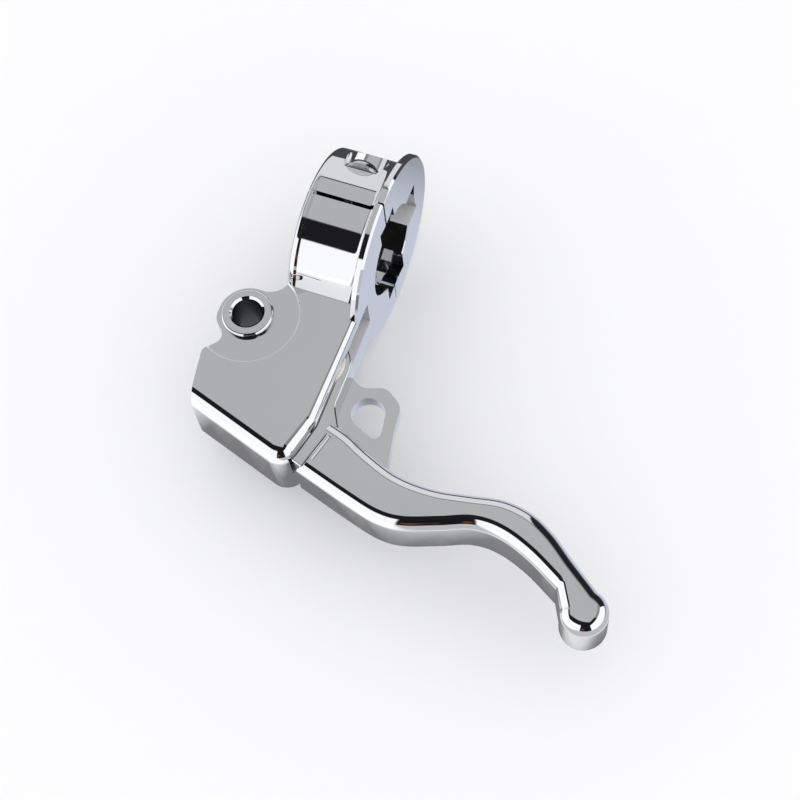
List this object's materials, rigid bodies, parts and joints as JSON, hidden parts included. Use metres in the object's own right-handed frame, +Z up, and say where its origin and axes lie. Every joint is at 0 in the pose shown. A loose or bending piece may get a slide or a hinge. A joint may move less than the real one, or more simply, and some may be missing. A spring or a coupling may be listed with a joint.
{
  "type": "motorcycle clutch lever and perch",
  "caption": "Chrome cable clutch perch with split handlebar clamp, mirror boss and a short S-shaped lever on a vertical pivot pin that pulls a cable anchor barrel.",
  "frame": {"origin": "centre of the handlebar clamp bore, midway between the clamp's two end faces to within 0.2 mm", "axes": "+X along the handlebar towards the grip (outboard), +Y rearward to the rider, +Z up along the lever's pivot; the lever reaches out to +X on the forward (-Y) side"},
  "size_m": [0.1222, 0.1129, 0.0526],
  "materials": {
    "perch_chrome": "polished chrome plate over billet aluminium",
    "cap_chrome": "polished chrome plate over billet aluminium",
    "lever_chrome": "polished chrome plate over billet aluminium",
    "screw_upper_steel": "bright zinc-plated steel",
    "screw_lower_steel": "bright zinc-plated steel",
    "washer_upper_steel": "bright zinc-plated steel",
    "washer_lower_steel": "bright zinc-plated steel",
    "pivot_pin_steel": "ground steel",
    "snap_ring_steel": "blackened spring steel",
    "bushing_bronze": "sintered bronze",
    "thrust_upper_nylon": "natural nylon",
    "thrust_lower_nylon": "natural nylon",
    "anchor_brass": "turned brass",
    "anchor_upper_nylon": "natural nylon",
    "anchor_lower_nylon": "natural nylon"
  },
  "bodies": {
    "root": {"perch_body": "perch_chrome", "clamp_cap": "cap_chrome", "clamp_screw_upper": "screw_upper_steel", "clamp_screw_lower": "screw_lower_steel", "clamp_washer_upper": "washer_upper_steel", "clamp_washer_lower": "washer_lower_steel", "pivot_pin": "pivot_pin_steel", "pivot_snap_ring": "snap_ring_steel", "thrust_washer_upper": "thrust_upper_nylon", "thrust_washer_lower": "thrust_lower_nylon"},
    "lever": {"clutch_lever": "lever_chrome", "pivot_bushing": "bushing_bronze", "anchor_sleeve_upper": "anchor_upper_nylon", "anchor_sleeve_lower": "anchor_lower_nylon"},
    "anchor": {"cable_anchor_pin": "anchor_brass"}
  },
  "joints": [
    {"name": "lever_pivot", "type": "hinge", "parent": "root", "child": "lever", "pos_m": [0.004, -0.0385, 0], "axis": [0, 0, 1], "range_deg": [0, 26]},
    {"name": "anchor_turn", "type": "hinge", "parent": "lever", "child": "anchor", "pos_m": [0.0005, -0.057, 0], "axis": [0, 0, 1], "range_deg": [-18, 0]}
  ],
  "couplings": [
    {"joint": "anchor_turn", "follows": "lever_pivot", "ratio": -0.68}
  ]
}
